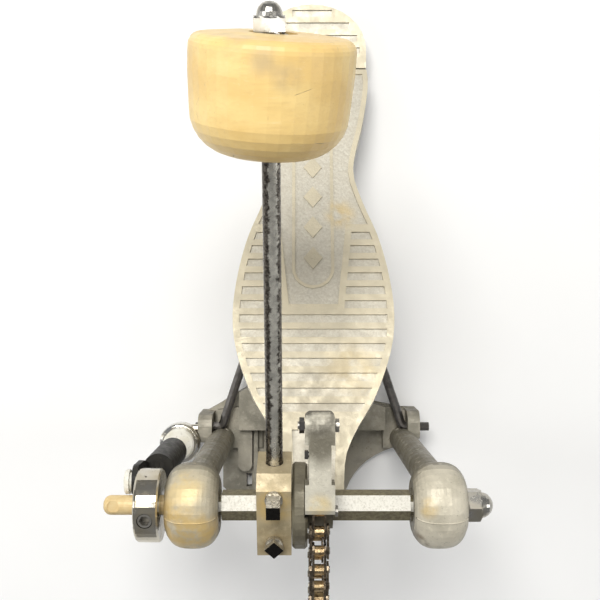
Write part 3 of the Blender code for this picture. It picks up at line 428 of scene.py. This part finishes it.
def bolt_steel():
    """The holder's two square bolts: worn bright sides and an end painted black as the shade in a recess.
    """
    made = Finish("bolt_steel", 0.85)
    sides = made.mix(made.patches(2.2, 0.35, 0.65, detail=5), (0.66, 0.63, 0.56), (0.38, 0.35, 0.29))
    # painted shade: the near-black of the bolts' ends
    black = made.mix(made.noise(1.5, 4), (0.010, 0.009, 0.008), (0.030, 0.027, 0.023))
    outward = made.remap(made.axis("Z", made.facing), 0.86, 0.92)
    along_bolt = made.axis("Z", made.turned(-BEATER_SLOPE))
    ends_from = SHAFT_HEIGHT * math.cos(BEATER_SLOPE) + BOLT_ENDS_FROM
    past_flange = made.remap(along_bolt, ends_from * MM, (ends_from + 0.5) * MM)
    end = made.calc("MULTIPLY", outward, past_flange)
    made.bump(made.noise(1.0, 4, 0.7), 0.06, 0.5)
    return made.done(made.mix(end, sides, black), made.uneven(1.6, 0.22, 0.45))


def threaded_steel():
    """The tension rod: bright oily plating with a thread cut on its lower part."""
    made = Finish("tension_rod_finish", 1.0)
    height = made.axis("Z")
    wave = made.calc("SINE", made.calc("MULTIPLY", height, TURN / (THREAD_PITCH * MM)))
    below = made.remap(height, THREAD_TOP * MM, (THREAD_TOP + 2) * MM, 1, 0)
    made.bump(made.calc("MULTIPLY", wave, below), 0.28)
    oil = made.patches(3, 0.4, 0.65)
    tint = made.mix(oil, (0.66, 0.65, 0.62), (0.30, 0.27, 0.22))
    return made.done(tint, made.remap(oil, 0, 1, 0.16, 0.4))


def beater_wood():
    """Pale varnished wood: grain round the head, pale fibres, smudges, a worn end, dirt and fine cracks."""
    made = Finish("beater_wood", 0.0)
    made.set("Coat Weight", 0.25)
    made.set("Coat Roughness", 0.3)
    clouds = made.patches(24, 0.35, 0.68, detail=5, where=made.stretched(0.35, 1, 1))
    colour = made.mix(clouds, (0.80, 0.55, 0.20), (0.92, 0.69, 0.29))
    grain = made.noise(1.6, 5, 0.6, made.stretched(0.08, 1, 1))
    colour = made.mix(made.remap(grain, 0.45, 0.8, 0, 0.4), colour, (0.68, 0.46, 0.18))
    fibres = made.patches(0.6, 0.6, 0.8, 0, 0.3, detail=3, where=made.stretched(0.05, 1, 1))
    colour = made.mix(fibres, colour, (0.93, 0.80, 0.55))

    for centre, reach, weight in SMUDGES:
        patchy = made.patches(7, 0.25, 0.6, 0.25, 1.0, detail=5)
        smudge = made.calc("MULTIPLY", made.near(centre, reach * 0.1, reach), patchy)
        colour = made.mix(made.calc("MULTIPLY", smudge, weight), colour, SMUDGE_COLOUR)
    worn_end = made.remap(made.axis("Y"), 184 * MM, 214 * MM, 0, 0.6)
    handled = made.calc("MULTIPLY", worn_end, made.noise(8, 5))
    colour = made.mix(handled, colour, (0.50, 0.37, 0.19))
    dirt = made.patches(2.2, 0.66, 0.74, 0, 0.5, detail=6, rough=0.7)
    colour = made.mix(dirt, colour, (0.25, 0.17, 0.09))

    to_crack = made.cells(26, "DISTANCE_TO_EDGE", made.stretched(0.25, 1, 1))
    cracks = made.remap(to_crack, 0.0, 0.006, 1, 0)
    cracks = made.calc("MULTIPLY", cracks, made.patches(11, 0.56, 0.64, detail=2))
    colour = made.mix(made.calc("MULTIPLY", cracks, 0.6), colour, (0.20, 0.12, 0.06))
    made.bump(made.calc("SUBTRACT", 1.0, cracks), 0.2, 0.5)
    made.bump(made.noise(9, 3), 0.5, 0.5)
    made.bump(grain, 0.06, 0.5)
    return made.done(colour, made.uneven(6, 0.42, 0.6))


def chain_steel():
    """Brassy rollers inside, darker plates outside, pale rivet ends and patches of black grease."""
    made = Finish("chain_steel", 1.0)
    off_middle = made.calc("ABSOLUTE", made.calc("SUBTRACT", made.axis("X"), CHAIN_X * MM))
    outside = made.remap(off_middle, PLATES_FROM * MM, (PLATES_FROM + 0.2) * MM)
    brass = made.mix(made.patches(2, 0.35, 0.65), (0.56, 0.42, 0.24), (0.34, 0.25, 0.14))
    plate = made.mix(made.patches(2.5, 0.35, 0.65, detail=5), (0.26, 0.21, 0.15), (0.09, 0.07, 0.05))
    colour = made.mix(outside, brass, plate)
    rivet = made.remap(off_middle, RIVETS_FROM * MM, (RIVETS_FROM + 0.08) * MM)
    colour = made.mix(rivet, colour, (0.46, 0.42, 0.34))
    grease = made.patches(1.2, 0.55, 0.7, 0, 0.8, rough=0.7)
    colour = made.mix(grease, colour, (0.03, 0.022, 0.015))
    made.bump(made.noise(1.0, 4), 0.05, 0.4)
    return made.done(colour, made.uneven(1.5, 0.22, 0.5))


def moulded(name, dark, light, rough, dirt=(0.16, 0.12, 0.07), dirt_weight=0.4):
    """Moulded plastic with a fine satin texture and some dirt."""
    made = Finish(name, 0.0)
    made.set("Specular IOR Level", 0.3)
    colour = made.mix(made.patches(8, 0.35, 0.65), dark, light)
    colour = made.mix(made.patches(1.8, 0.58, 0.7, 0, dirt_weight, detail=5, rough=0.7), colour, dirt)
    made.bump(made.noise(0.5, 2), 0.03, 0.4)
    made.bump(made.noise(5, 3), 0.15, 0.4)
    return made.done(colour, made.uneven(3, rough, rough + 0.18))


def floor_paper():
    """The studio's pale paper floor."""
    made = Finish("floor_paper", 0.0)
    tint = made.mix(made.noise(60, 3), (0.90, 0.90, 0.895), (0.925, 0.925, 0.92))
    return made.done(tint, made.uneven(20, 0.75, 0.85, detail=3))


def finishes():
    """Every material of the pedal by name."""
    # painted shade for the sides of the bearing housings that face away from the lights
    housing_painted_shade = (0.075, 0.066, 0.046)
    return {
        # the frame's colours are partly painted shade: darkened for the low light on the base and on the
        # posts under the shaft
        "cast": cast_metal("frame_cast", (0.24, 0.225, 0.18), (0.40, 0.37, 0.30)),
        "left_housing": cast_metal("left_housing_cast", (0.44, 0.40, 0.30), (0.58, 0.52, 0.39),
                                   housing_painted_shade, LEFT_HOUSING_STAINS),
        "right_housing": cast_metal("right_housing_cast", (0.50, 0.46, 0.36), (0.66, 0.61, 0.49),
                                    housing_painted_shade, RIGHT_HOUSING_STAINS),
        # the holder's third colour is painted shade for its sides
        "block": cast_metal("rod_holder_cast", (0.40, 0.33, 0.20), (0.54, 0.45, 0.29),
                            (0.20, 0.16, 0.09), HOLDER_STAINS),
        "cam_arm": cast_metal("cam_arm_cast", (0.48, 0.45, 0.37), (0.62, 0.59, 0.49),
                              stains=CAM_ARM_STAINS),
        "cam_wheel": cast_metal("cam_wheel_cast", (0.13, 0.115, 0.08), (0.20, 0.18, 0.125)),
        "board": tread_metal(),
        "chrome": chrome("bright_chrome"),
        "nut": chrome("cap_nut_chrome", (0.50, 0.49, 0.46), 0.8, 1.4, 0.24),
        "rocker": chrome("rocker_chrome", (0.58, 0.55, 0.48), 0.8, 2.4, 0.10),
        "rod": rod_plating(),
        "hex": hex_plating(),
        "steel": plain_steel("plain_steel", (0.42, 0.40, 0.36)),
        "wire": plain_steel("wire_steel", (0.16, 0.15, 0.14), 0.3, 0.5),
        "dark": plain_steel("blackened_steel", (0.12, 0.115, 0.11), 0.3, 0.5),
        "bolt": bolt_steel(),
        "thread": threaded_steel(),
        "wood": beater_wood(),
        "chain": chain_steel(),
        "black": moulded("black_moulding", (0.010, 0.009, 0.008), (0.022, 0.020, 0.016), 0.42, GRIME, 0.3),
        "nylon": moulded("nylon", (0.72, 0.69, 0.58), (0.82, 0.80, 0.72), 0.35),
    }


# Nodes with a finish of their own. The others take the one that their material slot names.
OWN_FINISH = {
    "left_upright": "left_housing",
    "right_upright": "right_housing",
    "cam_arm": "cam_arm",
    "cam_wheel": "cam_wheel",
    "beater_rod": "rod",
    "hex_shaft": "hex",
    "spring_rocker": "rocker",
    "radius_rod": "wire",
    "tension_rod": "thread",
    "rod_lock_bolt": "bolt",
    "shaft_lock_bolt": "bolt",
    "shaft_acorn_nut": "nut",
    "beater_acorn_nut": "nut",
}


def dress(frame, made):
    """Give every CAD node its material: its own if it has one, and otherwise its slot's."""
    for part in frame["record"]["subparts"]:
        node = part["node"]
        piece = frame["nodes"][node]
        finish = made[OWN_FINISH.get(node, part["material_slot"])]
        piece.data.materials.clear()
        piece.data.materials.append(finish)


def soften(frame):
    """Round off the worn edges of CAD nodes with narrow bevels."""
    for node, width in WORN_EDGES.items():
        modifier = frame["nodes"][node].modifiers.new("worn_edges", "BEVEL")
        modifier.width = width * MM
        modifier.segments = 2
        modifier.limit_method = "ANGLE"
        modifier.angle_limit = SHARP
        modifier.harden_normals = True


# ---------------------------------------------------------------- fine pieces


def add_to_scene(thing):
    bpy.context.scene.collection.objects.link(thing)


def tube(name, points, radius, material, sides):
    """A smooth round wire along a path that doesn't set off straight up."""
    path = [Vector(point) for point in points]
    last = len(path) - 1
    mesh = bmesh.new()
    rings = []
    side = Vector((0, 0, 1)).cross(path[1] - path[0])
    for i, point in enumerate(path):
        tangent = (path[min(i + 1, last)] - path[max(i - 1, 0)]).normalized()
        side = (side - tangent * side.dot(tangent)).normalized()
        up = tangent.cross(side)
        ring = []
        for k in range(sides):
            angle = TURN * k / sides
            out = math.cos(angle) * side + math.sin(angle) * up
            ring.append(mesh.verts.new((point + radius * out) * MM))
        rings.append(ring)
    mesh.faces.new(rings[0])
    mesh.faces.new(rings[-1])
    for low, high in zip(rings, rings[1:]):
        for k in range(sides):
            j = (k + 1) % sides
            mesh.faces.new((low[k], low[j], high[j], high[k]))
    bmesh.ops.recalc_face_normals(mesh, faces=mesh.faces)
    data = bpy.data.meshes.new(name)
    mesh.to_mesh(data)
    mesh.free()
    data.shade_smooth()
    data.materials.append(material)
    piece = bpy.data.objects.new(name, data)
    add_to_scene(piece)
    return piece


def spring_coil(made):
    """The tension spring as a coil of round wire whose turns lie a little closer in the middle."""
    low, high = SPRING_Z
    radius = SPRING_RADIUS - SPRING_WIRE
    steps = SPRING_TURNS * SPRING_STEPS
    points = []
    for i in range(steps + 1):
        angle = TURN * i / SPRING_STEPS
        share = i / steps
        eased = share + MIDDLE_SQUEEZE * math.sin(TURN * share)
        z = low + SPRING_WIRE + (high - low - 2 * SPRING_WIRE) * eased
        x = SPRING_AXIS[0] + radius * math.cos(angle)
        y = SPRING_AXIS[1] + radius * math.sin(angle)
        points.append((x, y, z))
    coil = tube("spring_coil", points, SPRING_WIRE, made["dark"], 10)
    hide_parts("spring")
    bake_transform(coil)


def housing_seam(side, name, material):
    """The parting line left by the mould over the top of a bearing housing."""
    power = 2 / HOUSING_ROUNDNESS
    stretch = HOUSING_HALF_WIDTH / math.cos(HOUSING_FIRST_ANGLE) ** power
    points = []
    for i in range(SEAM_STEPS + 1):
        angle = SEAM_FIRST_ANGLE + (math.pi - 2 * SEAM_FIRST_ANGLE) * i / SEAM_STEPS
        across = math.copysign(abs(math.cos(angle)) ** power, math.cos(angle)) * stretch
        reach = math.sin(angle) ** power * HOUSING_RADIUS - SEAM_SUNK
        height = SHAFT_HEIGHT + reach * math.cos(SEAM_LEAN)
        points.append((side * HOUSING_X + across, -reach * math.sin(SEAM_LEAN), height))
    seam = tube(name, points, SEAM_RADIUS, material, 6)
    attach(seam, "frame")


def fine_pieces(made):
    """The pieces that the CAD nodes are too plain for."""
    spring_coil(made)
    housing_seam(-1, "left_housing_seam", made["left_housing"])
    housing_seam(1, "right_housing_seam", made["right_housing"])


# ---------------------------------------------------------------- studio


def floor():
    """A flat square under the pedal."""
    mesh = bmesh.new()
    half = FLOOR_HALF
    corners = ((-half, -half), (half, -half), (half, half), (-half, half))
    mesh.faces.new([mesh.verts.new(Vector((x, y, FLOOR_Z)) * MM) for x, y in corners])
    data = bpy.data.meshes.new("floor")
    mesh.to_mesh(data)
    mesh.free()
    data.materials.append(floor_paper())
    ground = bpy.data.objects.new("floor", data)
    add_to_scene(ground)


def area_light(name, place, size, power, colour):
    """A rectangular light that points at the middle of the pedal."""
    data = bpy.data.lights.new(name, "AREA")
    data.shape = "RECTANGLE"
    data.size, data.size_y = (side * MM for side in size)
    data.energy = power
    data.color = colour
    lamp = bpy.data.objects.new(name, data)
    lamp.location = Vector(place) * MM
    lamp.rotation_euler = (Vector(LIGHTS_AIM) - Vector(place)).to_track_quat("-Z", "Y").to_euler()
    add_to_scene(lamp)


def studio():
    """Pale light from all round, three soft lights and the floor."""
    world = bpy.data.worlds.new("studio")
    world.use_nodes = True
    background = world.node_tree.nodes["Background"]
    background.inputs["Color"].default_value = SKY_COLOUR
    background.inputs["Strength"].default_value = SKY_STRENGTH
    bpy.context.scene.world = world
    bpy.context.scene.view_settings.view_transform = "Standard"
    for name, place, size, power, colour in LIGHTS:
        area_light(name, place, size, power, colour)
    floor()


def camera():
    """A camera above the pedal, looking straight down."""
    data = bpy.data.cameras.new("camera")
    data.lens = CAMERA_LENS
    data.sensor_width = SENSOR_WIDTH
    data.clip_start = NEAREST_SEEN * MM
    eye = bpy.data.objects.new("camera", data)
    eye.location = Vector(CAMERA_AT) * MM
    add_to_scene(eye)
    bpy.context.scene.camera = eye


def main():
    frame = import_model()
    made = finishes()
    dress(frame, made)
    soften(frame)
    fine_pieces(made)
    studio()
    camera()


main()
